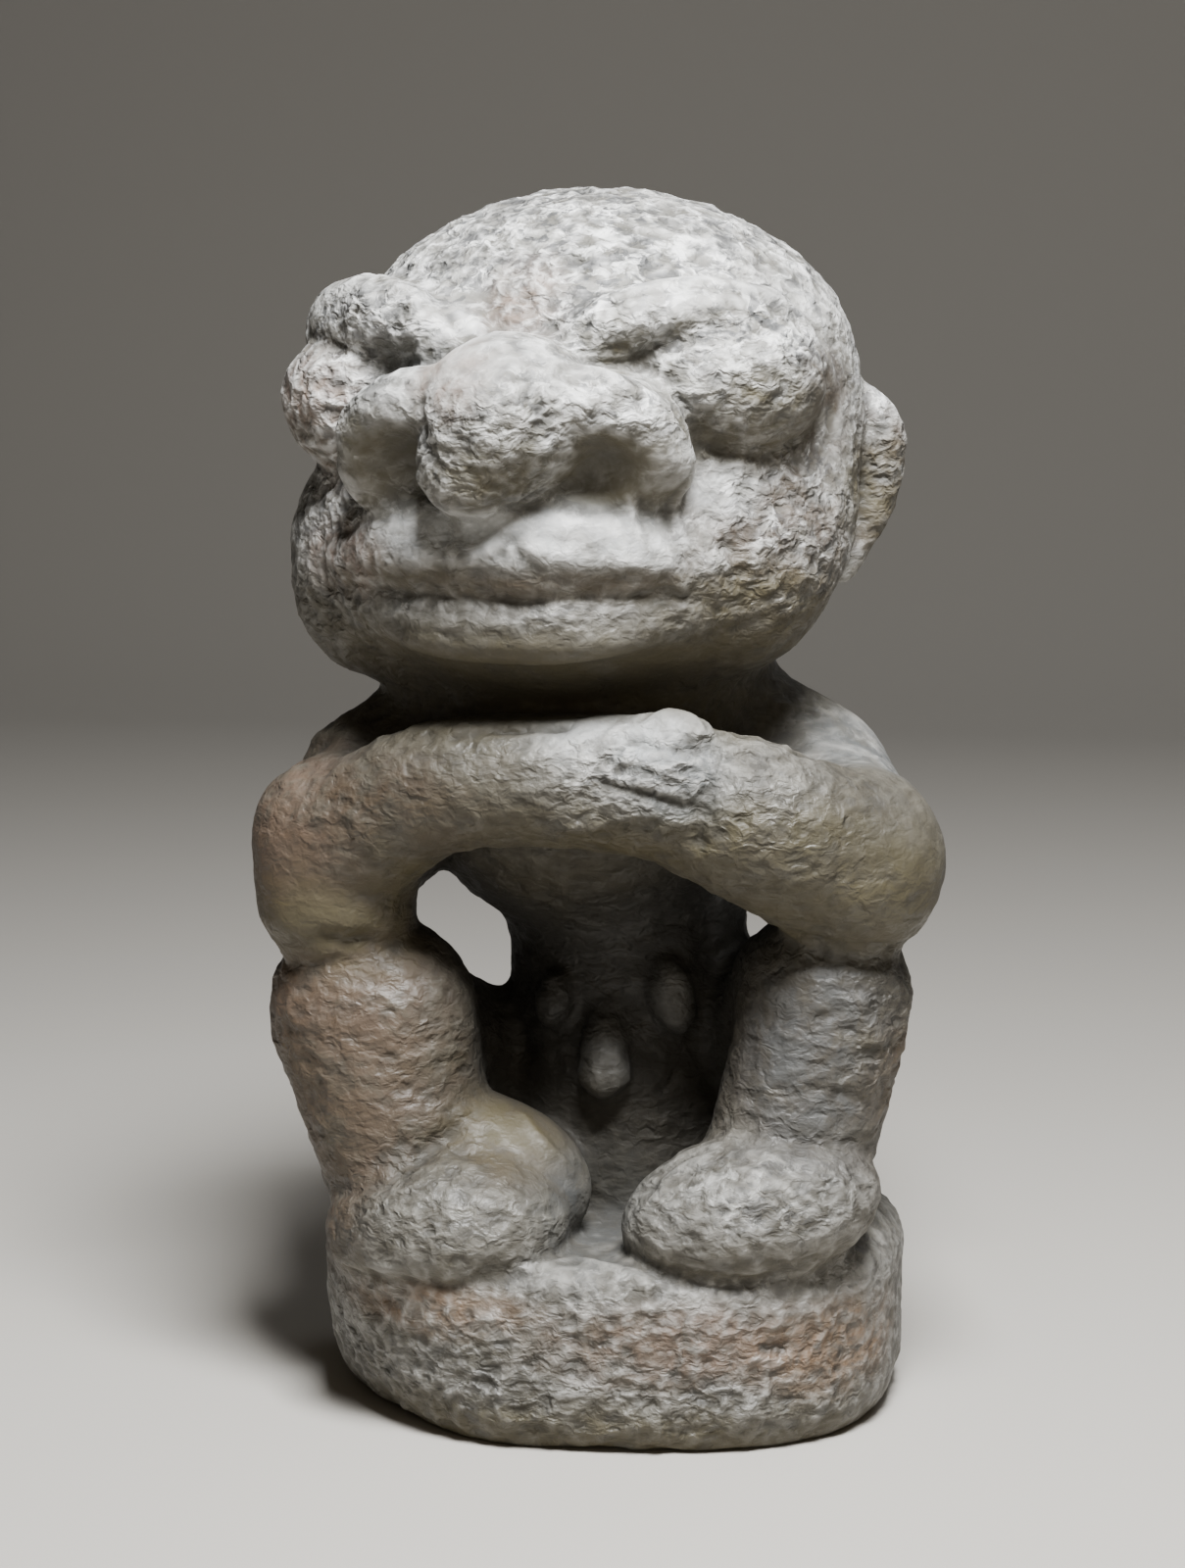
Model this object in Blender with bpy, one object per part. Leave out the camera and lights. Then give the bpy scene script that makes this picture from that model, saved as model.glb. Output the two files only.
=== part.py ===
"""A nomoli: a squatting figure with its hands joined under its chin, carved from one soft stone.

Run it with blender --background --python part.py, or from Blender's text editor. Metres, +Z up.
The figure faces -Y and stands on the flat underside of its own base, whose middle is the origin.

The work follows a carver's order. Rounded masses are set together as the rough block, a voxel
remesh makes one skin of them, and the skin is then cut back to the carved form, in which the
masses run softly into each other and the hollows and lines are cut.
"""

import math

import bmesh
import bpy
import numpy as np
from mathutils import Matrix

# Driving dimensions, in metres and degrees.
FIGURE_HEIGHT = 0.1722
BASE_HEIGHT = 0.0305
BASE_WIDTH = 0.0975
BASE_DEPTH = 0.0860
BASE_LOWER_EDGE = 0.0125
BASE_UPPER_EDGE = 0.0040
BASE_SQUARENESS = 2.6
HEAD_TURN = -7.3

# The figure is 84 modules tall, from the seat on top of the base to the crown. Places and radii
# on the figure are given in modules, and heights are counted from the seat.
MODULE = FIGURE_HEIGHT / 84

# How finely the skin is worked, and how many triangles the finished solid keeps.
SKIN_SPACING = 0.0014
TRIANGLES = 9400
CARVING_PASSES = 8
EVENING = 0.35

# A shape acts on points this close to it, and FAR stands for no shape near.
NEAR = 0.004
FAR = 1.0

STONE_COLOUR = (0.42, 0.40, 0.36, 1.0)
STONE_ROUGHNESS = 0.85

LEFT, RIGHT = -1, 1


def rotation(turn):
    """The rotation for three angles in degrees, about X, then Y, then Z."""
    matrix = Matrix.Identity(3)
    for angle, axis in zip(turn, "XYZ"):
        matrix = Matrix.Rotation(math.radians(angle), 3, axis) @ matrix
    return np.array(matrix)


class Place:
    """A part of the figure with its own middle and turn, such as the head."""

    def __init__(self, middle, turn):
        self.axes = rotation((0, 0, turn))
        self.middle = np.array(middle) * MODULE + (0, 0, BASE_HEIGHT)

    def point(self, place):
        return self.middle + self.axes @ (np.array(place) * MODULE)


BODY = Place((0, 0, 0), 0)
HEAD = Place((-2, 2, 64), HEAD_TURN)


class Ball:
    """An egg shape: three radii, turned about its middle."""

    def __init__(self, part, middle, radii, turn=(0, 0, 0)):
        self.middle = part.point(middle)
        self.radii = np.array(radii) * MODULE
        self.axes = part.axes @ rotation(turn)
        reach = np.linalg.norm(self.axes * self.radii, axis=1)
        self.box = (self.middle - reach, self.middle + reach)

    def distance(self, points):
        local = (points - self.middle) @ self.axes
        scaled = np.linalg.norm(local / self.radii, axis=1) + 1e-9
        steepness = np.linalg.norm(local / self.radii**2, axis=1) + 1e-9
        return scaled * (scaled - 1) / steepness

    def blanks(self):
        shape = Matrix.Diagonal(self.radii)
        yield "ball", Matrix.Translation(self.middle) @ (Matrix(self.axes) @ shape).to_4x4()


class Roll:
    """A round roll along a smooth path, whose radius changes from point to point."""

    steps = 4

    def __init__(self, part, path, radii):
        places = [part.point(place) for place in path]
        if np.isscalar(radii):
            radii = [radii] * len(path)
        knots = np.column_stack((places, np.array(radii) * MODULE))
        self.knots = self.smoothed(knots) if len(path) > 2 else knots
        thickness = self.knots[:, 3:]
        self.box = (
            (self.knots[:, :3] - thickness).min(axis=0),
            (self.knots[:, :3] + thickness).max(axis=0),
        )

    def smoothed(self, knots):
        """More knots along a Catmull-Rom curve through the given ones."""
        ends = np.vstack((2 * knots[0] - knots[1], knots, 2 * knots[-1] - knots[-2]))
        found = [knots[0]]
        for before, start, end, after in zip(ends, ends[1:], ends[2:], ends[3:]):
            for t in np.linspace(0, 1, self.steps + 1)[1:]:
                found.append(
                    0.5
                    * (
                        2 * start
                        + (end - before) * t
                        + (2 * before - 5 * start + 4 * end - after) * t**2
                        + (3 * start - before - 3 * end + after) * t**3
                    )
                )
        return np.array(found)

    def distance(self, points):
        nearest = np.full(len(points), np.inf)
        for start, end in zip(self.knots, self.knots[1:]):
            run = end[:3] - start[:3]
            share = np.clip((points - start[:3]) @ run / (run @ run), 0, 1)
            middle = start[:3] + share[:, None] * run
            radius = start[3] + share * (end[3] - start[3])
            nearest = np.minimum(nearest, np.linalg.norm(points - middle, axis=1) - radius)
        return nearest

    def blanks(self):
        for start, end in zip(self.knots, self.knots[1:]):
            for share in np.linspace(0, 1, 4):
                x, y, z, radius = start + (end - start) * share
                yield "ball", Matrix.Translation((x, y, z)) @ Matrix.Scale(radius, 4)


class Drum:
    """The base: a block between oval and square, its lower edge rounder than its upper one."""

    def __init__(self, width, depth, bottom, top, lower_edge, upper_edge):
        self.half = np.array((width, depth)) / 2
        self.bottom, self.top = bottom, top
        self.lower_edge, self.upper_edge = lower_edge, upper_edge
        self.box = (np.array((*-self.half, bottom)), np.array((*self.half, top)))

    def distance(self, points):
        power = BASE_SQUARENESS
        ratio = np.abs(points[:, :2]) / self.half + 1e-9
        scaled = (ratio**power).sum(axis=1) ** (1 / power)
        steepness = np.linalg.norm(ratio ** (power - 1) / self.half, axis=1)
        side = (scaled - 1) * scaled ** (power - 1) / steepness
        above = rounded_corner(side, points[:, 2] - self.top, self.upper_edge)
        below = rounded_corner(side, self.bottom - points[:, 2], self.lower_edge)
        return np.maximum(above, below)

    def blanks(self):
        size = Matrix.Diagonal((*self.half, self.top - self.bottom, 1))
        yield "drum", Matrix.Translation((0, 0, (self.bottom + self.top) / 2)) @ size


def rounded_corner(first, second, radius):
    """The distance to the corner between two planes, rounded to a radius."""
    first, second = first + radius, second + radius
    outside = np.hypot(np.maximum(first, 0), np.maximum(second, 0))
    return outside + np.minimum(np.maximum(first, second), 0) - radius


def base():
    """The block under the figure. It starts below the underside, where it is later cut flat."""
    below = 0.004
    side, front = BASE_WIDTH / 2 / MODULE, -BASE_DEPTH / 2 / MODULE
    underside = -BASE_HEIGHT / MODULE
    edges = BASE_LOWER_EDGE, BASE_UPPER_EDGE
    block = Drum(BASE_WIDTH, BASE_DEPTH, -below, BASE_HEIGHT, *edges)
    left_rise = [(4.8 - side, 2, -3), (7.8 - side, front + 11.5, -4)]
    right_rise = [
        (side - 5.6, 0, -2.2),
        (side - 6.6, front + 13, -3),
        (side - 13.8, front + 7.5, -4.5),
    ]
    worn_corner = Ball(BODY, (-side - 35, front - 24, underside - 32.5), (62, 62, 62))
    return [
        ("add", block, 1),
        ("add", Roll(BODY, left_rise, 5), 2),
        ("add", Roll(BODY, right_rise, 5), 2),
        ("cut", worn_corner, 6),
    ]


def legs():
    hips = {LEFT: (-11, 9.5, 6.5), RIGHT: (11, 9.5, 9.6)}
    knees = {LEFT: (-18.8, -4, 16), RIGHT: (17.3, -4, 19.6)}
    steps = [("add", Ball(BODY, (0, 9, 5), (18, 11, 9)), 4)]
    for side in (LEFT, RIGHT):
        steps.append(("add", Roll(BODY, [hips[side], knees[side]], [8, 7]), 2.5))
    left_shin = Roll(BODY, [(-19.6, -7.5, 17.8), (-17.1, -8, 10), (-14.2, -8.5, 2)], [8, 7.6, 7.3])
    right_shin = Roll(BODY, [(18.1, -7.5, 20.2), (16.3, -8, 11.5), (14.2, -9, 4)], [6.8, 6.7, 6.6])
    inner_knee = Ball(BODY, (-16, -8.5, 17.8), (5.6, 6.5, 6.5))
    steps += [("add", left_shin, 1.5), ("add", inner_knee, 2), ("add", right_shin, 1.2)]
    for side in (LEFT, RIGHT):
        behind_shin = Ball(BODY, (side * 13, 2.5, 3), (5.5, 9, 6.5))
        steps.append(("add", behind_shin, 3))
    return steps


def feet():
    instep = Ball(BODY, (-8.4, -9, 5), (8, 6.5, 5.8), (0, 22, -12))
    left = Ball(BODY, (-12, -13.4, 1.6), (10.4, 7.8, 6.2), (0, -7, -16))
    right = Ball(BODY, (12.6, -13.4, 3.6), (10.6, 7.8, 6), (0, -11, 14))
    return [("add", instep, 1), ("add", left, 1), ("add", right, 0.8)]


def torso():
    trunk = Roll(BODY, [(0.4, 5.5, 6), (0.4, 5.5, 22), (0, 4.5, 38)], [10.8, 9.9, 10.5])
    return [
        ("add", trunk, 2.5),
        ("add", Ball(BODY, (-0.5, 6, 37.5), (19, 10.5, 7.5)), 2.5),
        ("add", Roll(BODY, [(-3, 3, 38), (-3, 1, 50)], [15, 15.5]), 2),
    ]


def arms():
    shoulders = {LEFT: (-20, 2.5, 33.3), RIGHT: (15.6, 4, 34.2)}
    elbows = {LEFT: (-21.7, -8, 30), RIGHT: (20.2, -8.5, 31)}
    left_path = [(-21.3, -10.5, 31.5), (-14, -14, 36.5), (-7, -16, 38.2), (5.2, -16.3, 38)]
    right_path = [(19.9, -10, 31), (13.5, -14, 34.6), (6, -15, 37.5)]
    return [
        ("add", Roll(BODY, [(-11, 2, 40.2), (-19.8, -3, 36)], [7.4, 6]), 2),
        ("add", Roll(BODY, [(9, 3, 40.2), (15.5, 3.5, 36.8)], [6, 6]), 2),
        ("add", Roll(BODY, [shoulders[LEFT], elbows[LEFT]], [7.1, 6]), 1.5),
        ("add", Roll(BODY, [shoulders[RIGHT], elbows[RIGHT]], [7.4, 6.6]), 1.5),
        ("add", Roll(BODY, [(-21.7, -9, 32.2), (-21.6, -9.5, 27.8)], [6.8, 6.6]), 1),
        ("add", Ball(BODY, (20.4, -9, 31.2), (7.2, 7.5, 7.8)), 1),
        ("add", Roll(BODY, right_path, [6.8, 6.6, 5.4]), 1),
        ("add", Roll(BODY, left_path, [6, 5.4, 5.2, 5.5]), 0.5),
    ] + hands()


def hands():
    """One hand lies over the other wrist, with its thumb up and lines between its fingers."""
    upper_line = Roll(BODY, [(1.5, -21.9, 41), (5.5, -21.9, 41), (9.4, -20, 40.2)], 0.45)
    lower_line = Roll(BODY, [(3, -22.2, 37.6), (6.5, -21.9, 37.2), (10, -20, 36.4)], 0.5)
    arm_line = [(-24, -12, 38), (-19, -15, 40.5), (-12, -18, 42.6)]
    return [
        ("cut", upper_line, 0.5),
        ("cut", lower_line, 0.5),
        ("cut", Roll(BODY, arm_line, 0.5), 0.6),
        ("add", Ball(BODY, (7, -17.5, 42.6), (3, 2.2, 1.7), (0, 8, 0)), 0.4),
    ]


def skull():
    return [
        ("add", Ball(HEAD, (0, 0, 1), (22, 21.5, 19)), 1.5),
        ("add", Ball(HEAD, (0.9, -0.5, 6.3), (20.4, 19.5, 13.6)), 1.5),
        ("add", Ball(HEAD, (-0.8, -5, -7.5), (23, 17, 11)), 3.5),
        ("add", Roll(HEAD, [(-15.8, -8.5, -12.2), (13.6, -8.5, -10.8)], 6.9), 3),
        ("add", Ball(HEAD, (-0.5, -13, -10.5), (15.5, 11.2, 7.8)), 3),
    ]


def eyes():
    right_brow = [
        (4.6, -19.8, 8),
        (7.5, -19.4, 10),
        (13, -16.6, 11.2),
        (17.6, -11.8, 9.8),
        (20, -7.4, 4.4),
    ]
    left_brow = [
        (-4.5, -19.8, 7.6),
        (-9, -19, 9.4),
        (-14, -15.8, 10.2),
        (-18, -11, 9.2),
        (-19.6, -8, 5.5),
    ]
    steps = []
    for side in (LEFT, RIGHT):
        socket = Ball(HEAD, (side * 12.5, -18, 5.5), (8.6, 4.5, 5.6), (0, 0, side * 30))
        steps.append(("cut", socket, 1.5))
        corner = Ball(HEAD, (side * 7.8, -19.5, 6), (2.4, 4, 3.2))
        steps.append(("cut", corner, 1))
    return steps + [
        ("add", Roll(HEAD, right_brow, [2.4, 2.4, 2.2, 2.1, 1.6]), 1.6),
        ("add", Roll(HEAD, left_brow, [2.2, 2.8, 3.2, 3, 2.2]), 2),
        ("add", Ball(HEAD, (14, -12.4, 5.4), (8.1, 7, 6), (0, 0, 35)), 0.4),
        ("add", Ball(HEAD, (-15, -12.3, 3.4), (7.8, 7.2, 6.2), (0, 0, -35)), 0.4),
    ]


def nose():
    """A round tip between two wings, each a broad arch over a shallow hollow."""
    steps = []
    wing_width = {LEFT: 1.0, RIGHT: 0.86}
    for side in (LEFT, RIGHT):
        width = side * wing_width[side]
        steps.append(("add", Ball(HEAD, (width * 8, -20.5, 0.8), (5.4, 5, 5.4)), 1.5))
        path = [
            (3.5, -25, 3.6),
            (7.6, -25, 3.6),
            (11, -23, 1.8),
            (12, -21.2, -1),
            (11, -20, -3.4),
        ]
        path = [(width * x, y, z) for x, y, z in path]
        steps.append(("add", Roll(HEAD, path, [2.9, 3, 3, 2.8, 2.4]), 1))
        hollow = Ball(HEAD, (width * 8, -26.6, -2.2), (3.9, 3.5, 3.6))
        steps.append(("cut", hollow, 1.6))
    steps.append(("add", Ball(HEAD, (-0.3, -23.4, 2.9), (6.9, 8.4, 6.3)), 0.35))
    steps.append(("add", Ball(HEAD, (-2.6, -26.6, -1), (4.2, 4, 4)), 1.2))
    return steps


def mouth():
    upper = [(-15, -17, -9), (-9, -21, -6.8), (0, -23, -6.2), (7.5, -21.4, -6.8), (12.5, -17.4, -9)]
    middle = [
        (-14.5, -17, -9.2),
        (-8, -21.8, -8.6),
        (0, -23.6, -8.4),
        (7, -22, -8.6),
        (12, -17.6, -9.2),
    ]
    lower = [
        (-14, -17, -12.4),
        (-7, -21.6, -13.4),
        (0, -22.6, -13.6),
        (6, -21.6, -13.4),
        (11.5, -17, -12.6),
    ]
    crease = [
        (-15, -19.4, -10.9),
        (-8, -24.6, -11),
        (0, -26.4, -11.1),
        (7, -24.6, -11.1),
        (12, -20, -10.9),
    ]
    return [
        ("add", Roll(HEAD, upper, [2, 3, 3.4, 3, 2]), 1.2),
        ("add", Roll(HEAD, middle, [1.8, 2.2, 2.3, 2.2, 1.8]), 1.6),
        ("add", Roll(HEAD, lower, [1.8, 2.5, 2.7, 2.5, 1.8]), 1),
        ("cut", Roll(HEAD, crease, [0.3, 0.35, 0.35, 0.35, 0.3]), 0.9),
    ]


def ears():
    steps = []
    for side in (LEFT, RIGHT):
        path = [(20.9, 6.5, 2.6), (22.1, 7.4, -0.2), (21.4, 7, -6), (19.4, 5, -10.8)]
        path = [(side * x, y, z) for x, y, z in path]
        steps.append(("add", Roll(HEAD, path, [2, 2.4, 1.8, 1.3]), 0.5))
    return steps


def belly():
    """The small raised forms on the front of the torso, in the hollow between the arms and legs."""
    return [
        ("add", Ball(BODY, (5.2, -4, 19), (1.9, 2, 3.4), (0, -12, 0)), 0.6),
        ("add", Ball(BODY, (-4.7, -3.9, 18.3), (1.6, 1.6, 2.6), (0, 12, 0)), 0.6),
        ("add", Roll(BODY, [(-0.4, -4, 17), (-0.2, -6, 12.8)], [1.5, 2.3]), 0.5),
    ]


def carving():
    """Every step in order: what is added or cut, and how softly it runs into what is there."""
    body = base() + legs() + torso() + arms() + feet() + belly()
    return body + skull() + eyes() + nose() + mouth() + ears()


def smooth_least(first, second, reach):
    """The lesser of two distances, rounded where they are within reach of each other."""
    share = np.clip(0.5 + 0.5 * (second - first) / reach, 0, 1)
    return second + (first - second) * share - reach * share * (1 - share)


def distance(points, steps):
    """How far each point is outside the carved form. It holds for points near the surface."""
    found = np.full(len(points), FAR)
    for kind, shape, softness in steps:
        reach = softness * MODULE
        low, high = shape.box
        margin = reach + NEAR
        near = ((points > low - margin) & (points < high + margin)).all(axis=1)
        so_far, other = found[near], shape.distance(points[near])
        if kind == "add":
            found[near] = smooth_least(so_far, other, reach)
        else:
            found[near] = -smooth_least(-so_far, other, reach)
    return found


def slope(points, steps):
    """The direction in which the distance grows, for each point."""
    nudge = MODULE / 20
    corners = np.array([(1, -1, -1), (-1, -1, 1), (-1, 1, -1), (1, 1, 1)])
    total = sum(c * distance(points + nudge * c, steps)[:, None] for c in corners)
    return total / (4 * nudge)


def remeshed(mesh, spacing):
    """One even skin around everything in the mesh."""
    helper = bpy.data.objects.new("rough_block", mesh)
    bpy.context.scene.collection.objects.link(helper)
    skin = helper.modifiers.new("skin", "REMESH")
    skin.mode = "VOXEL"
    skin.voxel_size = spacing
    return applied(helper)


def applied(helper):
    """The mesh of an object with its modifiers applied. The object is removed."""
    graph = bpy.context.evaluated_depsgraph_get()
    made = bpy.data.meshes.new_from_object(helper.evaluated_get(graph))
    bpy.data.objects.remove(helper)
    return made


def coordinates(mesh):
    found = np.empty(len(mesh.vertices) * 3)
    mesh.vertices.foreach_get("co", found)
    return found.reshape(-1, 3)


def cut_back(mesh, steps):
    """Moves the skin onto the carved form, and keeps its points evenly spaced along it."""
    points = coordinates(mesh)
    edges = np.empty(len(mesh.edges) * 2, int)
    mesh.edges.foreach_get("vertices", edges)
    edges = edges.reshape(-1, 2)
    neighbours = np.bincount(edges.ravel(), minlength=len(points))[:, None]
    longest = 2 * SKIN_SPACING
    for _ in range(CARVING_PASSES):
        normal = slope(points, steps)
        steepness = np.linalg.norm(normal, axis=1)[:, None] + 1e-6
        normal /= steepness
        move = np.clip(distance(points, steps)[:, None] / np.maximum(steepness, 0.5), -longest, longest)
        points = points - move * normal
        total = np.zeros_like(points)
        np.add.at(total, edges[:, 0], points[edges[:, 1]])
        np.add.at(total, edges[:, 1], points[edges[:, 0]])
        drift = EVENING * (total / neighbours - points)
        points += drift - normal * (drift * normal).sum(1)[:, None]
    move = distance(points, steps)[:, None] * slope(points, steps)
    points -= np.clip(move, -longest, longest)
    mesh.vertices.foreach_set("co", points.ravel())
    mesh.update()


def blank_forms():
    """The points and faces of a unit ball and a unit drum."""
    forms = {}
    for name in ("ball", "drum"):
        work = bmesh.new()
        if name == "ball":
            bmesh.ops.create_icosphere(work, subdivisions=3, radius=1)
        else:
            bmesh.ops.create_cone(work, cap_ends=True, segments=48, radius1=1, radius2=1, depth=1)
        points = np.array([vertex.co for vertex in work.verts])
        forms[name] = points, [[vertex.index for vertex in face.verts] for face in work.faces]
        work.free()
    return forms


def rough_block(steps):
    """All added masses as plain overlapping solids."""
    forms = blank_forms()
    points, faces, count = [], [], 0
    for kind, shape, _ in steps:
        if kind != "add":
            continue
        for name, matrix in shape.blanks():
            form_points, form_faces = forms[name]
            matrix = np.array(matrix)
            points.append(form_points @ matrix[:3, :3].T + matrix[:3, 3])
            faces += [[count + index for index in face] for face in form_faces]
            count += len(form_points)
    mesh = bpy.data.meshes.new("rough_block")
    mesh.from_pydata(np.vstack(points), [], faces)
    return mesh


def thinned(mesh, triangles):
    """The mesh with fewer triangles, most of them kept where the form turns sharply."""
    helper = bpy.data.objects.new("thinned", mesh)
    bpy.context.scene.collection.objects.link(helper)
    mesh.calc_loop_triangles()
    fewer = helper.modifiers.new("fewer", "DECIMATE")
    fewer.ratio = triangles / len(mesh.loop_triangles)
    fewer.use_collapse_triangulate = True
    return applied(helper)


def cut_flat(mesh):
    """Cuts the underside flat at the origin's height and closes it."""
    work = bmesh.new()
    work.from_mesh(mesh)
    everything = work.verts[:] + work.edges[:] + work.faces[:]
    cut = bmesh.ops.bisect_plane(
        work,
        geom=everything,
        dist=1e-6,
        plane_co=(0, 0, 0),
        plane_no=(0, 0, -1),
        clear_outer=True,
    )
    rim = [edge for edge in cut["geom_cut"] if isinstance(edge, bmesh.types.BMEdge)]
    bmesh.ops.edgenet_fill(work, edges=rim)
    bmesh.ops.triangulate(work, faces=[face for face in work.faces if len(face.verts) > 3])
    bmesh.ops.recalc_face_normals(work, faces=work.faces[:])
    work.to_mesh(mesh)
    work.free()


def stone():
    """Pale grey soapstone."""
    material = bpy.data.materials.new("stone")
    material.use_nodes = True
    shader = material.node_tree.nodes["Principled BSDF"]
    shader.inputs["Base Color"].default_value = STONE_COLOUR
    shader.inputs["Roughness"].default_value = STONE_ROUGHNESS
    shader.inputs["Metallic"].default_value = 0.0
    return material


def clear_scene():
    for old in list(bpy.data.objects):
        bpy.data.objects.remove(old)


def main():
    clear_scene()
    steps = carving()
    mesh = remeshed(rough_block(steps), SKIN_SPACING)
    cut_back(mesh, steps)
    mesh = remeshed(mesh, SKIN_SPACING)
    cut_back(mesh, steps)
    mesh = thinned(mesh, TRIANGLES)
    cut_flat(mesh)
    mesh.materials.clear()
    mesh.materials.append(stone())
    mesh.shade_smooth()
    mesh.set_sharp_from_angle(angle=math.radians(50))
    figure = bpy.data.objects.new("stone_figure", mesh)
    bpy.context.scene.collection.objects.link(figure)


main()
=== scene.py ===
"""The look of a carved stone nomoli: a worked, weathered skin over the plain solid, and its stone.

The solid gives every main form. Here its skin is made fine and even, the finer cuts of the carving
are drawn into it, and then the dents, flakes and pits of weathered soapstone. Places are in
modules: the figure is 84 of them tall from the seat, on top of the base, to the crown. Heights
are counted from the seat, x to the picture's right and y away from the camera.
"""

import math

import bmesh
import bpy
import numpy as np
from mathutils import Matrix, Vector
from mathutils.bvhtree import BVHTree


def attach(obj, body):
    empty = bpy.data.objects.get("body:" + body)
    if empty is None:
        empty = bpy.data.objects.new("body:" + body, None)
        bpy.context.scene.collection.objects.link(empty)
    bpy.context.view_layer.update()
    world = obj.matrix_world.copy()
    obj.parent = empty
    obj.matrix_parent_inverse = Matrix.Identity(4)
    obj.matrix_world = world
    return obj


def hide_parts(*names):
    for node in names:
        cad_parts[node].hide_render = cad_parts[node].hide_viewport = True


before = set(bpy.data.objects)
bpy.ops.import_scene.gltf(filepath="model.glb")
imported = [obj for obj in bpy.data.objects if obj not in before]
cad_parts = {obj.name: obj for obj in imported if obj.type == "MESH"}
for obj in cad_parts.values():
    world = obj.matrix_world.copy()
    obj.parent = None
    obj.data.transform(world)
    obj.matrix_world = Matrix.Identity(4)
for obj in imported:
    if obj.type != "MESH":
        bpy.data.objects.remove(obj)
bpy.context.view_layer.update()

MODULE = 0.00205
SEAT = 0.0305

# The skin: its first spacing, how often it is evened, and how many triangles it keeps.
SPACING = 0.00052
EVENING_PASSES = 12
TRIANGLES = 196000

# The height over the flat underside within which the relief fades out.
UNDERSIDE_FADE = 0.003

# The camera stands where the photograph was taken from.
CAMERA_AZIMUTH = 8
CAMERA_ELEVATION = 8
CAMERA_DISTANCE = 0.6265
CAMERA_TARGET = Vector((-0.0041, 0, 0.1037))
CAMERA_LENS = 85


def place(*modules):
    """A point on the figure, from modules to metres."""
    return np.array(modules) * MODULE + (0, 0, SEAT)


def hashed(x, y, z, seed):
    """A repeatable number from 0 to 1 for each whole-numbered cell."""
    mask = 0xFFFFFFFF
    mixed = (x * 374761393 + y * 668265263 + z * 1440662683 + seed * 974634777) & mask
    mixed = ((mixed ^ (mixed >> 13)) * 1274126177) & mask
    mixed = ((mixed ^ (mixed >> 15)) * 2246822519) & mask
    return (mixed ^ (mixed >> 16)) / mask


def cell_corners():
    for x in (0, 1):
        for y in (0, 1):
            for z in (0, 1):
                yield np.array((x, y, z))


def noise(points, size, seed):
    """Smooth noise from about -1 to 1, with swells about size across."""
    scaled = points / size
    cells = np.floor(scaled).astype(np.int64)
    inside = scaled - cells
    fade = inside**3 * (inside * (inside * 6 - 15) + 10)
    total = np.zeros(len(points))
    for corner in cell_corners():
        x, y, z = (cells + corner).T
        offset = inside - corner
        lean = sum((hashed(x, y, z, seed + 7 * axis) - 0.5) * offset[:, axis] for axis in range(3))
        total += lean * np.where(corner, fade, 1 - fade).prod(axis=1)
    return total * 2.6


def layered(points, size, seed, layers=3, keep=0.5):
    """Noise with finer and fainter noise on top."""
    weights = [keep**layer for layer in range(layers)]
    total = sum(w * noise(points, size / 2**i, seed + 31 * i) for i, w in enumerate(weights))
    return total / sum(weights)


def pits(points, spacing, seed, share, stretch=1.0):
    """Round dents from 0 to 1 deep, in a share of the cells of a grid, stretched sideways."""
    scaled = points / (spacing * np.array((stretch, stretch, 1)))
    cells = np.floor(scaled - 0.5).astype(np.int64)
    deepest = np.zeros(len(points))
    for corner in cell_corners():
        x, y, z = (cells + corner).T
        middle = np.column_stack([hashed(x, y, z, seed + k) for k in (1, 2, 3)])
        middle += cells + corner
        radius = 0.24 + 0.26 * hashed(x, y, z, seed + 4)
        present = hashed(x, y, z, seed + 5) < share
        reach = np.linalg.norm(scaled - middle, axis=1) / radius
        depth = np.clip(1 - reach**2, 0, 1) ** 1.5 * radius * 2 * present
        deepest = np.maximum(deepest, depth)
    return deepest


def scallops(points, spacing, seed, stretch=1.0):
    """Shallow hollows that meet in sharp ridges: 0 in the middle of each and about 1 on a ridge."""
    scaled = points / (spacing * np.array((stretch, stretch, 1)))
    cells = np.floor(scaled - 0.5).astype(np.int64)
    nearest = np.full(len(points), 9.0)
    for corner in cell_corners():
        x, y, z = (cells + corner).T
        middle = np.column_stack([hashed(x, y, z, seed + k) for k in (1, 2, 3)])
        middle = cells + corner + 0.5 + (middle - 0.5) * 0.8
        nearest = np.minimum(nearest, ((scaled - middle) ** 2).sum(axis=1))
    return np.clip(nearest * 1.9, 0, 1)


def near(points, middle, radii, softness=0.5):
    """1 inside an egg shape on the figure and 0 outside, with a soft edge."""
    reach = np.linalg.norm((points - place(*middle)) / (np.array(radii) * MODULE), axis=1)
    share = np.clip((1 + softness - reach) / (2 * softness), 0, 1)
    return share * share * (3 - 2 * share)


def zone(points, places, softness=0.5):
    """1 inside any of several egg shapes and 0 outside them all."""
    inside = np.zeros(len(points))
    for middle, radii in places:
        inside = np.maximum(inside, near(points, middle, radii, softness))
    return inside


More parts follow.
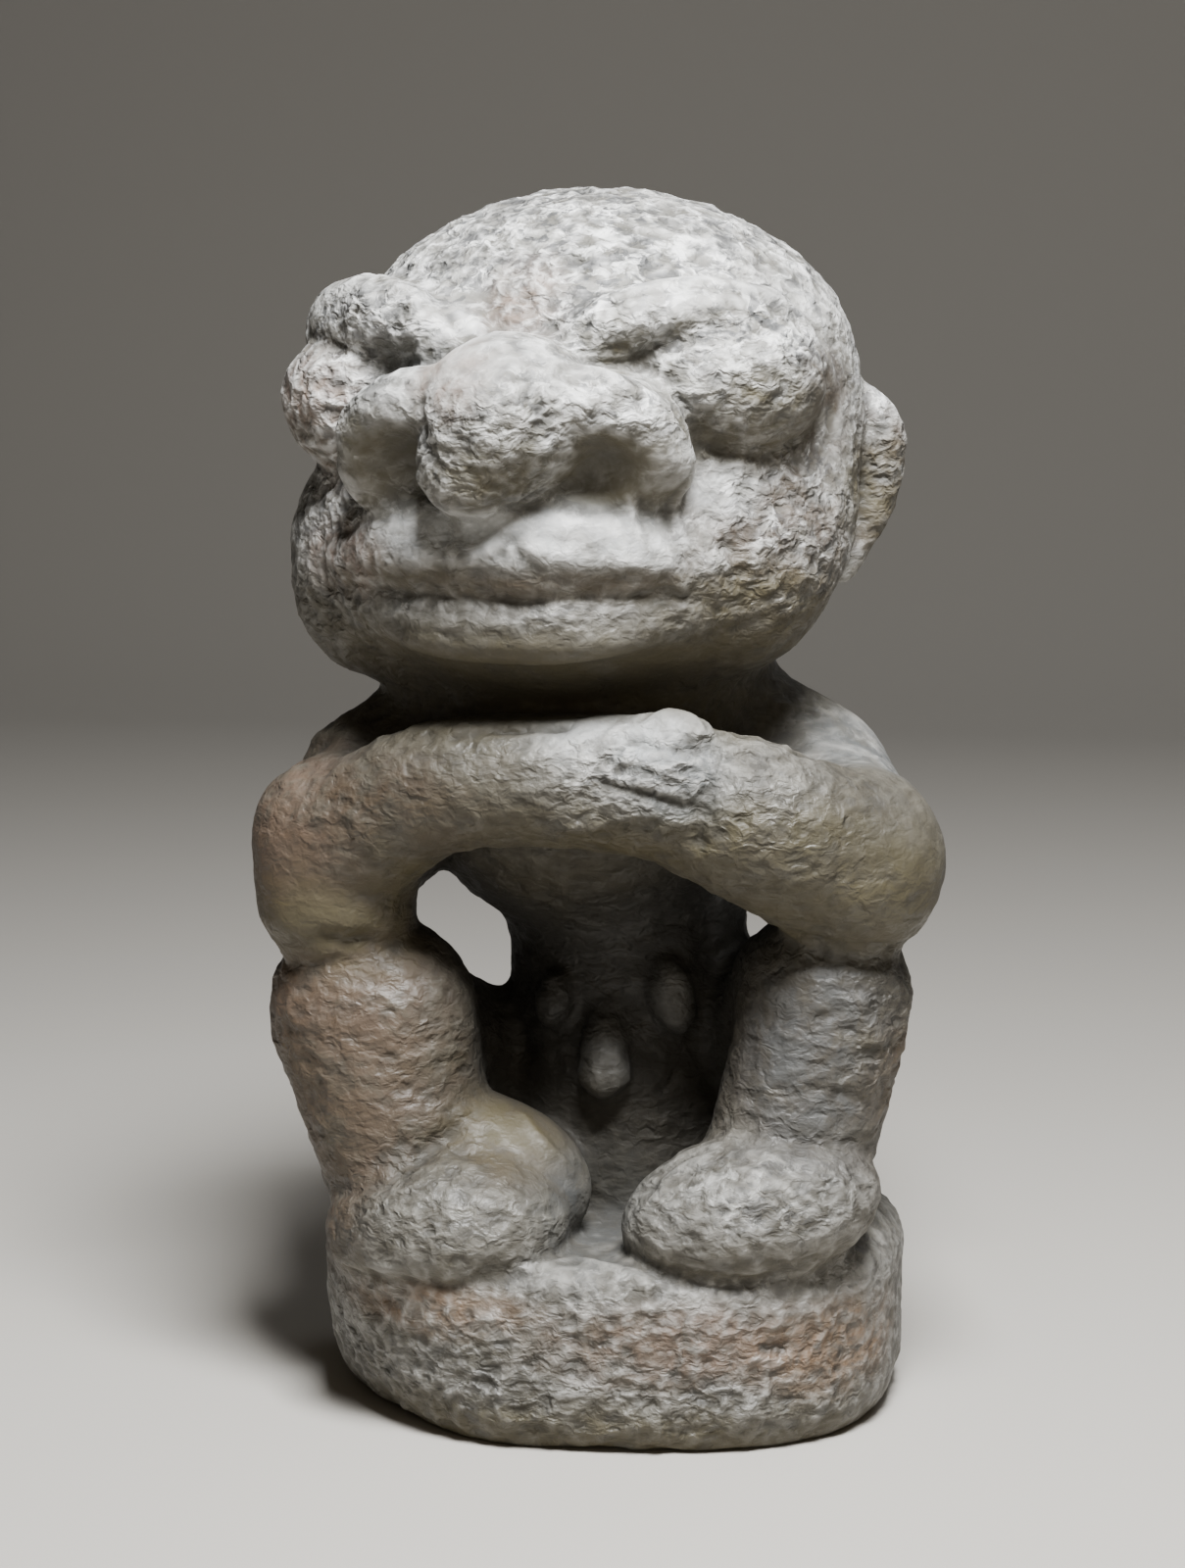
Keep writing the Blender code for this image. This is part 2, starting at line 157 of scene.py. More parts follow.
def along(points, path, reach):
    """Each point's distance to a smooth path on the figure, and how far along it that is."""
    knots = np.array([place(*knot) for knot in path])
    if len(knots) > 2:
        ends = np.vstack((2 * knots[0] - knots[1], knots, 2 * knots[-1] - knots[-2]))
        found = [knots[0]]
        for before, start, end, after in zip(ends, ends[1:], ends[2:], ends[3:]):
            for t in (0.25, 0.5, 0.75, 1):
                bend = (2 * before - 5 * start + 4 * end - after) * t**2
                bend += (3 * start - before - 3 * end + after) * t**3
                found.append(0.5 * (2 * start + (end - before) * t + bend))
        knots = np.array(found)
    nearest = np.full(len(points), np.inf)
    progress = np.zeros(len(points))
    low, high = knots.min(axis=0) - reach, knots.max(axis=0) + reach
    close = np.flatnonzero(((points > low) & (points < high)).all(axis=1))
    for index, (start, end) in enumerate(zip(knots, knots[1:])):
        run = end - start
        share = np.clip((points[close] - start) @ run / (run @ run + 1e-12), 0, 1)
        gap = np.linalg.norm(points[close] - start - share[:, None] * run, axis=1)
        better = gap < nearest[close]
        nearest[close[better]] = gap[better]
        progress[close[better]] = (index + share[better]) / (len(knots) - 1)
    return nearest, progress


class Skin:
    """A mesh as arrays: its points, its normals, and the average of each point's neighbours."""

    def __init__(self, mesh):
        self.mesh = mesh
        count = len(mesh.vertices)
        self.points = np.empty(count * 3)
        mesh.vertices.foreach_get("co", self.points)
        self.points = self.points.reshape(-1, 3)
        self.edges = np.empty(len(mesh.edges) * 2, int)
        mesh.edges.foreach_get("vertices", self.edges)
        self.edges = self.edges.reshape(-1, 2)
        self.neighbours = np.bincount(self.edges.ravel(), minlength=count)
        self.read_normals()

    def read_normals(self):
        self.mesh.vertices.foreach_set("co", self.points.ravel())
        self.mesh.update()
        found = np.empty(len(self.mesh.vertices) * 3)
        self.mesh.vertex_normals.foreach_get("vector", found)
        self.normals = found.reshape(-1, 3)

    def around(self, values):
        """The average of each point's neighbours."""
        first, second = self.edges.T
        count = len(self.points)
        columns = values.reshape(count, -1)
        totals = [
            np.bincount(first, columns[second, k], count) + np.bincount(second, columns[first, k], count)
            for k in range(columns.shape[1])
        ]
        return (np.array(totals) / self.neighbours).T.reshape(values.shape)

    def smoothed(self, values, times):
        for _ in range(times):
            values = 0.5 * values + 0.5 * self.around(values)
        return values

    def push(self, heights):
        """Raises each point along its normal, less and less towards the flat underside."""
        fade = np.clip(self.points[:, 2] / UNDERSIDE_FADE, 0, 1)
        self.points += self.normals * (heights * fade)[:, None]
        self.points[:, 2] = np.maximum(self.points[:, 2], 0)
        self.read_normals()


def applied(helper):
    graph = bpy.context.evaluated_depsgraph_get()
    made = bpy.data.meshes.new_from_object(helper.evaluated_get(graph))
    bpy.data.objects.remove(helper)
    return made


def helper_with(mesh, name):
    helper = bpy.data.objects.new(name, mesh)
    bpy.context.scene.collection.objects.link(helper)
    return helper


def welded(source):
    """The solid's mesh with its facets joined."""
    work = bmesh.new()
    work.from_mesh(source.data)
    bmesh.ops.remove_doubles(work, verts=work.verts[:], dist=1e-6)
    mesh = bpy.data.meshes.new("solid")
    work.to_mesh(mesh)
    work.free()
    return mesh


def fine_skin(solid):
    """An even, fine skin over the solid, with its flat facets softened away."""
    helper = helper_with(solid.copy(), "fine_skin")
    rounding = helper.modifiers.new("rounding", "SUBSURF")
    rounding.levels = rounding.render_levels = 1
    even = helper.modifiers.new("even", "REMESH")
    even.mode = "VOXEL"
    even.voxel_size = SPACING
    soften = helper.modifiers.new("soften", "SMOOTH")
    soften.factor = 0.5
    soften.iterations = EVENING_PASSES
    return applied(helper)


def thinned(mesh):
    """The same surface with fewer triangles, kept where it turns sharply."""
    helper = helper_with(mesh, "thinned")
    mesh.calc_loop_triangles()
    fewer = helper.modifiers.new("fewer", "DECIMATE")
    fewer.ratio = min(1, TRIANGLES / len(mesh.loop_triangles))
    fewer.use_collapse_triangulate = True
    return applied(helper)


# Cuts and ridges: a path on the figure, its half width and its depth in modules. A negative depth
# is a ridge.
STROKES = [
    # The brows, the corners of the eyes and the lids.
    (
        [
            (0.4, -19.8, 74.8),
            (3.4, -19.6, 76),
            (7.8, -18.5, 76.5),
            (12, -16.2, 76.1),
            (15.5, -13.3, 74),
            (17.6, -12, 71.3),
        ],
        0.7,
        0.4,
    ),
    ([(17.6, -12.6, 71.3), (18.4, -8, 67.5), (18.1, -6.9, 63.5)], 1.2, 0.5),
    (
        [(8.2, -18.5, 70), (8.3, -20, 66.5), (8.4, -20.5, 63.5), (8.2, -18.6, 60.5)],
        1.3,
        -0.5,
    ),
    ([(-14.3, -10.6, 76.6), (-10.9, -17.4, 75), (-8.8, -18.8, 72.8), (-6, -17.6, 73.1)], 0.9, 0.45),
    ([(-16.6, -16.9, 72.9), (-14.9, -17.2, 71.3), (-11.5, -21, 70)], 1.5, 0.25),
    # The wings of the nose and the line under it.
    (
        [
            (-20, -15, 64.6),
            (-19.1, -16.5, 67.4),
            (-16.6, -21.2, 69),
            (-13.8, -23.8, 69.5),
            (-11.6, -24.9, 69),
        ],
        0.6,
        0.3,
    ),
    ([(-11.5, -24.9, 68.8), (-11.2, -25.8, 65.8), (-9.5, -27.4, 62.3)], 0.8, 0.4),
    (
        [(-8.7, -26.4, 60.2), (-6, -25.6, 60.6), (-3.5, -23.4, 60.2), (0.9, -22.8, 59.9), (5.2, -21.8, 60.2)],
        0.7,
        0.35,
    ),
    ([(4.4, -22.4, 59.4), (6.6, -21.5, 60), (8, -19.6, 60.2)], 2.2, 0.8),
    # The lips: a notch, the edge of the lit upper face, the mouth and the line under the lower lip.
    ([(-5.8, -24, 56), (-4.9, -24.2, 57.4), (-3.9, -24.2, 56.1)], 0.5, 0.4),
    (
        [
            (-18.7, -16.8, 55.4),
            (-14.7, -20.3, 55.6),
            (-10.1, -22.8, 56.1),
            (-4.7, -24.3, 57),
            (0.3, -23.9, 56.3),
            (3.9, -22.8, 55.8),
            (7.3, -20.5, 55.3),
        ],
        0.8,
        -0.35,
    ),
    (
        [
            (-19.5, -14.9, 53.5),
            (-15.1, -18.6, 53.1),
            (-9.9, -21.4, 52.9),
            (-5.1, -22.4, 52.8),
            (0.8, -22.2, 53),
            (4.4, -21, 53.2),
            (7.3, -20.1, 53.9),
        ],
        0.4,
        0.2,
    ),
    (
        [
            (-20.3, -11.5, 50.3),
            (-14.1, -19.7, 50.3),
            (-9, -22.2, 50),
            (-3.6, -23.2, 50.3),
            (2.3, -22.4, 50.8),
            (6.5, -19.6, 51.2),
        ],
        0.9,
        0.25,
    ),
    ([(-22.3, -9.6, 60.4), (-22.3, -11.3, 57.3), (-21.5, -12.2, 54.3)], 0.8, 0.12),
    ([(8, -19.7, 56.7), (8.8, -19.2, 54.5), (7.9, -18.8, 52.2)], 0.7, 0.3),
    # The arms: the line along the neck, the thumb, the fingers, the wrist and the elbows.
    ([(-23.9, -6.6, 38.6), (-21.8, -5.6, 40.1), (-19.4, -5.4, 41.3), (-17.5, -5, 42.4)], 0.6, 0.4),
    (
        [
            (-18.6, -16.4, 38.9),
            (-15.8, -17.7, 40.1),
            (-12.4, -18.5, 41.4),
            (-8.7, -18.9, 42.2),
            (-6.5, -19, 42.4),
        ],
        0.5,
        0.25,
    ),
    ([(-7.5, -19, 42.3), (-4, -19.1, 42.6), (-0.5, -19, 42.8)], 0.4, 0.35),
    ([(2.5, -19.6, 42.3), (5.8, -20.3, 41.7), (8, -19.7, 41.4), (9.6, -18.7, 40.8)], 0.5, 0.42),
    (
        [(3.4, -19.1, 42.7), (4.8, -17.9, 43.8), (6.6, -16, 44.2), (9, -17.2, 43.7), (9.7, -18.5, 42.5)],
        0.45,
        0.3,
    ),
    ([(0.6, -20.8, 40.9), (3.7, -21.4, 40), (6.7, -21.4, 39.2), (8.6, -20.7, 37.9)], 0.6, 0.34),
    ([(1.5, -21.6, 38.8), (4.5, -21.7, 38), (7.4, -20.9, 37.1), (8.7, -20.3, 36.5)], 0.6, 0.5),
    (
        [
            (10.4, -17.5, 41.5),
            (10.7, -18.9, 40.4),
            (9.8, -20.5, 37.9),
            (9.2, -20.6, 35),
            (9, -19.8, 32.9),
        ],
        0.7,
        0.5,
    ),
    ([(12.4, -13.6, 41.4), (15.6, -14.5, 40.8), (18, -10.5, 39.3), (20.6, -9, 38.7)], 0.7, 0.35),
    ([(14.4, -1.2, 41.2), (15.3, -0.2, 41.8), (16.7, 0.4, 41.7)], 0.5, 0.4),
    ([(-25, -12.8, 24.8), (-21.5, -15.2, 25), (-17.8, -13.7, 24.5), (-15, -11.6, 23.7)], 0.8, 0.4),
    ([(16.7, -13.8, 25.7), (19.8, -14.1, 25.2), (22.8, -13, 25), (24.5, -9, 25.2)], 0.8, 0.4),
    # Scores on the shin and the lines round the feet.
    ([(15.6, -14.6, 19.4), (17.8, -14.6, 19.6), (20.2, -13.9, 19.9)], 0.4, 0.2),
    ([(18.4, -14.2, 13.9), (20.6, -13.4, 12.9), (22.4, -11.6, 11.8)], 0.5, 0.22),
    ([(17.6, -14.2, 12.6), (19.6, -13.5, 11.6), (21.4, -11.8, 10.4)], 0.5, 0.18),
    (
        [(-21.2, -13.6, 3.5), (-17, -17, 5.6), (-14.3, -16.2, 7.1), (-12.5, -14.8, 8.4), (-10.8, -13.2, 9.9)],
        0.8,
        0.55,
    ),
    ([(-6.8, -10.2, 10.4), (-4.4, -12.4, 8.4), (-1.9, -12, 5.9)], 0.6, -0.4),
    (
        [
            (-20.7, -14.4, -1.9),
            (-15.4, -19.2, -1.8),
            (-11.2, -20.1, -1.8),
            (-7.3, -20.4, -1.1),
            (-4.2, -19.8, -0.2),
            (-2.5, -16.7, 0.6),
        ],
        0.8,
        0.4,
    ),
    (
        [
            (3.2, -16.8, 0.4),
            (5.8, -19.6, 0),
            (8.5, -20, -0.8),
            (13, -19.2, -0.7),
            (17.7, -17.9, 1),
            (22.4, -6, 1.1),
        ],
        0.8,
        0.45,
    ),
    (
        [
            (4.5, -18, 4.8),
            (5.3, -16.4, 6.5),
            (6.8, -15.2, 7.7),
            (10.9, -15.3, 9.1),
            (15.8, -15.3, 9.7),
            (22, -12, 8.2),
        ],
        0.7,
        0.35,
    ),
    (
        [
            (-21.3, -12, -5.8),
            (-8.9, -20.3, -4.2),
            (0.6, -21, -4.2),
            (12.8, -19.3, -3.6),
            (22.9, -9.2, -3.2),
        ],
        1.6,
        -0.3,
    ),
    ([(-4, -20, -0.5), (-2.4, -18.4, 0.4), (-0.8, -17.6, 0.3), (1, -18.4, 0.2), (3, -19.6, -0.4)], 0.6, -0.4),
]


def cut_strokes(skin):
    """The finer cuts, each a little uneven in width and depth."""
    heights = np.zeros(len(skin.points))
    uneven = noise(skin.points, 0.006, 5)
    for path, width, depth in STROKES:
        width, depth = width * MODULE, depth * MODULE
        gap, progress = along(skin.points, path, 4 * width)
        close = np.isfinite(gap)
        taper = np.clip(np.sin(np.pi * progress[close]) * 2.2 + 0.12, 0, 1)
        profile = np.exp(-((gap[close] / (width * (1 + 0.35 * uneven[close]))) ** 2))
        heights[close] -= depth * profile * taper * (1 + 0.5 * uneven[close])
    skin.push(heights)


# Where the skin is smooth, roughly worked, flecked and pocked: egg shapes, each a middle and three
# radii.
SMOOTH = [
    ((17, 3, 38), (8, 8, 5)),
    ((9, -17, 76.5), (9, 5, 1.8)),
    ((-10, -17, 75.5), (2.5, 4, 3.5)),
    ((18, -9, 66.5), (2.6, 6, 5)),
    ((-8, -25, 70.5), (5, 6, 3)),
    ((3, -24, 62.5), (5, 5, 3.5)),
    ((-15, -21, 64), (4, 5, 4)),
    ((9, -20, 61), (3.5, 4, 2.5)),
    ((-3, -22, 58.5), (12, 6, 1.8)),
    ((-2, -20, 46.5), (19, 12, 3.6)),
    ((7, -18, 43.6), (3, 3.5, 1.5)),
    ((24, -9, 33), (5, 8, 6)),
    ((-6, -9, 8), (5, 7, 5)),
    ((0, -9, 3.5), (6, 9, 4)),
    ((-23, -12, 29), (6, 8, 5)),
]
ROUGH = [
    ((-2, -6, 81), (20, 20, 7)),
    ((0, -18, 76), (7, 6, 4)),
    ((-6, -27, 65), (6, 8, 6)),
    ((12, -17, 71), (7, 7, 5)),
    ((15, -14, 57), (9, 9, 8)),
    ((-18, -14, 69), (6, 8, 6)),
    ((-15, -15, 75), (6, 7, 3)),
    ((4, -25, 68), (5, 6, 2.5)),
    ((-21, -12, 56), (4, 7, 7)),
    ((4, -20, 39), (7, 6, 5)),
    ((13, -16, 38), (4.5, 6, 5)),
    ((24, -10, 18), (4, 6, 6)),
    ((0, -18, -9), (26, 12, 6)),
    ((13, -15, 5), (9, 6, 4)),
    ((-12, -15, 3), (8, 6, 4)),
    ((24, 2, 63), (4, 6, 8)),
]
FLECKED = [
    ((-2, -4, 82), (21, 21, 8)),
    ((0, -18, 75), (8, 6, 5)),
    ((-6, -28, 66), (5, 7, 5)),
    ((13, -16, 72), (7, 7, 4)),
    ((-18, -13, 71), (7, 8, 6)),
    ((4, -25, 68), (5, 6, 2.5)),
    ((24, 6, 66), (4, 6, 4)),
    ((16, -14, 60), (6, 7, 6)),
    ((5, -20, 40), (5, 5, 3)),
    ((14, -19, 6), (5, 5, 3)),
]
POCKED = [
    ((-6, -28, 65), (6, 7, 5.5)),
    ((0, -16, 78), (9, 8, 5)),
    ((12, -16, 72), (6, 6, 4)),
    ((5, -21, 39), (5, 5, 4)),
    ((15, -15, 58), (7, 8, 6)),
    ((24, -10, 18), (3, 6, 5)),
]


# Marks of wear: how far apart they are, and how deep or high, in metres.
SWELLS, SWELL_HEIGHT = 0.014, 0.0006
BROAD_FLAKES, BROAD_DEPTH = 0.0052, 0.0006
NARROW_FLAKES, NARROW_DEPTH = 0.0029, 0.00046
GRAIN, GRAIN_HEIGHT = 0.0017, 0.0001
DENTS, DENT_DEPTH = 0.0048, 0.00045
POCKS, POCK_DEPTH = 0.0036, 0.0006
PATCHES = 0.011
BENDS, BEND_REACH = 0.009, 0.0024


def weather(skin):
    """Peck marks, flakes and pits: strong on the crown, nose, cheeks and base, faint on smooth places."""
    points = skin.points
    warp = np.column_stack([noise(points, BENDS, 60 + k) for k in range(3)]) * BEND_REACH
    moved = points + warp
    patchy = np.clip(0.55 + 0.9 * noise(moved, PATCHES, 71), 0, 1)
    smooth = zone(points, SMOOTH)
    rough = zone(points, ROUGH)
    behind = np.clip((points[:, 1] - 0.005) / 0.03, 0, 1)
    strength = (0.5 + 0.3 * patchy + 0.5 * rough) * (1 - 0.8 * smooth) * (1 - 0.35 * behind)
    swell = layered(moved, SWELLS, 11) * SWELL_HEIGHT
    broad = (scallops(moved, BROAD_FLAKES, 21, 1.25) - 0.4) * BROAD_DEPTH
    narrow = (scallops(moved + warp, NARROW_FLAKES, 31, 1.35) - 0.4) * NARROW_DEPTH
    grain = noise(moved, GRAIN, 41) * GRAIN_HEIGHT
    dents = pits(moved, DENTS, 51, 0.45, 1.35) * DENT_DEPTH
    pocks = pits(moved, POCKS, 61, 0.7, 1.35) * POCK_DEPTH * zone(points, POCKED)
    heights = swell * (0.45 + 0.55 * strength)
    heights += (broad * (0.5 + 0.5 * patchy) + narrow + grain - dents) * strength
    skin.push(heights - pocks * (1 - smooth))


def shelter_of(mesh):
    """How much of the sky each point of the solid misses, from 0 in the open to 1 deep inside."""
    tree = BVHTree.FromPolygons([v.co for v in mesh.vertices], [tuple(p.vertices) for p in mesh.polygons])
    golden = math.pi * (3 - math.sqrt(5))
    rays = []
    for index in range(48):
        up = 1 - (index + 0.5) / 24
        across = math.sqrt(1 - up * up)
        rays.append(Vector((across * math.cos(index * golden), across * math.sin(index * golden), up)))
    found = np.zeros(len(mesh.vertices))
    for vertex in mesh.vertices:
        start = vertex.co + vertex.normal * 0.0004
        facing = [(ray, ray.dot(vertex.normal)) for ray in rays]
        facing = [(ray, weight) for ray, weight in facing if weight > 0.05]
        whole = sum(weight for _, weight in facing)
        lost = sum(weight for ray, weight in facing if tree.ray_cast(start, ray, 0.06)[0])
        found[vertex.index] = lost / whole
    return found


def spread(mesh, values, points):
    """Values on the solid's points carried over to nearby points."""
    corners = np.array([tuple(p.vertices)[:3] for p in mesh.polygons])
    places = np.array([v.co for v in mesh.vertices])
    tree = BVHTree.FromPolygons([v.co for v in mesh.vertices], [tuple(p.vertices) for p in mesh.polygons])
    faces = np.array([tree.find_nearest(Vector(p))[2] for p in points])
    total = np.zeros(len(points))
    weights = np.zeros(len(points))
    for k in range(3):
        index = corners[faces, k]
        weight = 1 / (np.linalg.norm(points - places[index], axis=1) + 0.0003)
        total += weight * values[index]
        weights += weight
    return total / weights


def attribute(mesh, name, values):
    made = mesh.attributes.new(name, "FLOAT", "POINT")
    made.data.foreach_set("value", np.asarray(values, dtype=np.float32))


def hollowness(skin, times):
    """Above 0 in hollows and below 0 on edges, at the size that the smoothing reaches."""
    drift = skin.smoothed(skin.points, times) - skin.points
    return (drift * skin.normals).sum(axis=1)


# Stains, and patches of painted shade and painted light: a colour, how strongly it covers, and where, as egg
# shapes.
STAINS_AND_PAINTED_SHADING = {
    "pink": (
        (0.145, 0.095, 0.068, 1),
        0.75,
        [
            ((-24, -12, 31), (6, 10, 8)),
            ((-22, -12, 17), (8, 9, 11)),
            ((-9, -26, 70), (3, 5, 3)),
            ((-20, -16, 55.5), (5, 7, 3)),
            ((-22, -12, 66), (5, 7, 5)),
            ((-5, -18, 76), (3, 5, 4)),
            ((10, -20, -6), (12, 7, 3)),
        ],
    ),
    "rust": (
        (0.135, 0.078, 0.04, 1),
        0.8,
        [
            ((-14, -20, -3.8), (9, 6, 2)),
            ((20, -14, -7), (7, 8, 3.5)),
            ((24, -8, 14), (3, 6, 4)),
        ],
    ),
    # A brown stain that also paints shade: darker on the legs, the left arm, the right cheek and temple, and
    # under the upper lip.
    "brown_stain_and_shade": (
        (0.047, 0.031, 0.018, 1),
        0.82,
        [
            ((-21, -10, 15), (10, 12, 11)),
            ((-24, -10, 29), (9, 12, 8)),
            ((-16, -18, 36), (8, 6, 4)),
            ((-7, -12, 8.5), (5, 6, 5)),
            ((15, -14, 57), (9, 9, 7)),
            ((22, 4, 60), (5, 9, 7)),
            ((17.5, -9.5, 67), (2.6, 7, 5)),
            ((-22, -12, 1), (6, 9, 5)),
            ((-2, -22, 54.3), (13, 5, 1.3)),
            ((18, -13, 15), (8, 6, 9)),
        ],
    ),
    # Dark olive painted shade: under the eyes, nose, lips, chin, jaw and forearms, in the nose's hollows, by
    # the brow, on the neck, thigh and under the base.
    "olive_shade": (
        (0.05, 0.042, 0.019, 1),
        0.88,
        [
            ((21, -14, 29), (9, 10, 5)),
            ((8, -19, 34.5), (14, 6, 3)),
            ((-20, -13, 26), (8, 8, 4)),
            ((-4, -20, 46.5), (20, 9, 3.6)),
            ((-2, -10, 43), (18, 9, 3)),
            ((12.5, -17, 66.3), (7, 7, 3.9)),
            ((2.8, -19, 71.8), (2.2, 4, 2.6)),
            ((21, 0, 60), (4, 8, 4)),
            ((-6.5, -12, 9.5), (5, 6, 3.5)),
            ((-6, -26, 62.5), (5, 4, 2.6)),
            ((3, -23, 62.5), (5, 4, 3.2)),
            ((-15, -21, 64), (4.5, 4, 4)),
            ((12, -15, 51), (8, 8, 4)),
            ((-4, -20, -14), (26, 12, 3)),
        ],
    ),
    "blue": (
        (0.047, 0.053, 0.057, 1),
        0.75,
        [
            ((18, -14, 16), (7, 7, 9)),
            ((0, -10, 2.5), (7, 9, 5)),
            ((7, -20, 39), (4, 4, 4)),
            ((-15, -19, 70), (4, 4, 3)),
            ((20, 0, 37), (6, 8, 5)),
        ],
    ),
    # Painted light: pale patches where light falls on the upper lip, the hand and beside the nose.
    "painted_light": (
        (0.36, 0.375, 0.38, 1),
        0.6,
        [
            ((-4, -23, 57.8), (14, 5, 2.2)),
            ((3, -20, 42), (6, 4, 2)),
            ((11, -18, 61), (3, 4, 2)),
        ],
    ),
}

# The recess, painted near black as shade over some dirt, and the bosses that stand out of it, painted less
# dark.
RECESS_DIRT_AND_SHADE = [
    ((0, -1, 20), (15, 8, 12)),
    ((-3, -3, 19), (6, 7, 9)),
    ((0, 0, 27), (17, 9, 7)),
]
BOSSES = [
    ((5.8, -5.5, 19.6), (1.8, 4, 3.2)),
    ((0.6, -7.2, 14.2), (2, 3, 3.4)),
]

# Where the stone is cleaner and paler, partly its own tone and partly painted light: the head, hand,
# foot tops and base are painted as lit, and the rest is darker as painted shade. A middle, three radii
# and the softness of the edge, and how much.
CLEAN_AND_LIT = [
    (((-2, 2, 66), (30, 32, 20), 0.2), 1.0),
    (((5, -20, 40.5), (7, 6, 4.5), 0.7), 0.42),
    (((12, -17, 39), (6, 6, 3.5), 0.6), 0.2),
    (((20, 0, 37), (6, 8, 5), 0.5), 0.4),
    (((14, -18, 5), (11, 8, 6), 0.5), 0.29),
    (((-12, -20, 2.5), (9, 5, 4.5), 0.5), 0.12),
    (((0, -4, -7), (40, 40, 9), 0.5), 0.36),
]


# The stone's colours where it is dusty and painted as in shade, and where it is clean and painted as lit.
SHADED_DUSTY_STONE = {
    "dark": (0.024, 0.0202, 0.013, 1),
    "light": (0.052, 0.046, 0.034, 1),
    "pale flecks": (0.105, 0.101, 0.084, 1),
    "dark flecks": (0.02, 0.0185, 0.015, 1),
    "hollows": (0.026, 0.024, 0.019, 1),
    "rubbed edges": (0.098, 0.091, 0.072, 1),
    "pits": (0.03, 0.028, 0.023, 1),
}
LIT_CLEAN_STONE = {
    "dark": (0.105, 0.101, 0.088, 1),
    "light": (0.26, 0.258, 0.245, 1),
    "pale flecks": (0.80, 0.81, 0.81, 1),
    "dark flecks": (0.045, 0.047, 0.051, 1),
    "hollows": (0.055, 0.053, 0.047, 1),
    "rubbed edges": (0.70, 0.705, 0.70, 1),
    "pits": (0.06, 0.06, 0.058, 1),
}
# Painted shade for the undersides.
UNDERSIDE_PAINTED_SHADE = (0.056, 0.046, 0.022, 1)
# Dirt and painted shade for sheltered places.
SHELTERED_DIRT_AND_SHADE = (0.034, 0.03, 0.023, 1)
RECESS_DIRT_AND_SHADE_COLOUR = (0.009, 0.0082, 0.0068, 1)
BOSS_COLOUR = (0.085, 0.084, 0.079, 1)


class Graph:
    """Short ways to add and join the nodes of a material."""

    def __init__(self, material):
        material.use_nodes = True
        self.nodes = material.node_tree.nodes
        self.link = material.node_tree.links.new
        self.shader = self.nodes["Principled BSDF"]

    def node(self, kind, **settings):
        made = self.nodes.new(kind)
        for key, value in settings.items():
            setattr(made, key, value)
        return made

    def connect(self, value, socket):
        if isinstance(value, (int, float, tuple)):
            socket.default_value = value
        else:
            self.link(value, socket)

    def sum_up(self, operation, *values, clamp=False):
        made = self.node("ShaderNodeMath", operation=operation, use_clamp=clamp)
        for value, socket in zip(values, made.inputs):
            self.connect(value, socket)
        return made.outputs[0]

    def times(self, *values):
        total = values[0]
        for value in values[1:]:
            total = self.sum_up("MULTIPLY", total, value)
        return total

    def line(self, value, slope, start):
        """The value times a slope, plus a start."""
        return self.sum_up("MULTIPLY_ADD", value, slope, start)

    def mix(self, share, first, second):
        made = self.node("ShaderNodeMix", data_type="RGBA")
        self.connect(share, made.inputs["Factor"])
        self.connect(first, made.inputs[6])
        self.connect(second, made.inputs[7])
        return made.outputs[2]

    def between(self, value, low, high, first=0.0, second=1.0):
        """A smooth step from first to second while the value goes from low to high."""
        made = self.node("ShaderNodeMapRange", interpolation_type="SMOOTHSTEP")
        names = ("Value", "From Min", "From Max", "To Min", "To Max")
        for name, number in zip(names, (value, low, high, first, second)):
            self.connect(number, made.inputs[name])
        return made.outputs[0]

    def read(self, name):
        made = self.node("ShaderNodeAttribute", attribute_name=name, attribute_type="GEOMETRY")
        return made.outputs["Fac"]

    def grain(self, size, detail, place, distortion=0.0, roughness=0.55):
        made = self.node("ShaderNodeTexNoise")
        self.link(place, made.inputs["Vector"])
        made.inputs["Scale"].default_value = 1 / size
        made.inputs["Detail"].default_value = detail
        made.inputs["Roughness"].default_value = roughness
        made.inputs["Distortion"].default_value = distortion
        return made.outputs["Fac"]

    def cells(self, size, place):
        made = self.node("ShaderNodeTexVoronoi", feature="F1")
        self.link(place, made.inputs["Vector"])
        made.inputs["Scale"].default_value = 1 / size
        return made.outputs["Distance"]


def wobbly_place(graph, where):
    """The object's own place, stretched sideways and bent a little, for marks wider than tall."""
    squeeze = graph.node("ShaderNodeMapping")
    squeeze.inputs["Scale"].default_value = (0.6, 0.6, 1)
    graph.link(where, squeeze.inputs["Vector"])
    wobble = graph.node("ShaderNodeTexNoise")
    graph.link(where, wobble.inputs["Vector"])
    wobble.inputs["Scale"].default_value = 1 / 0.003
    shift = graph.node("ShaderNodeMix", data_type="VECTOR")
    shift.inputs["Factor"].default_value = 0.0022
    graph.link(squeeze.outputs[0], shift.inputs[4])
    graph.link(wobble.outputs["Color"], shift.inputs[5])
    return shift.outputs[1]


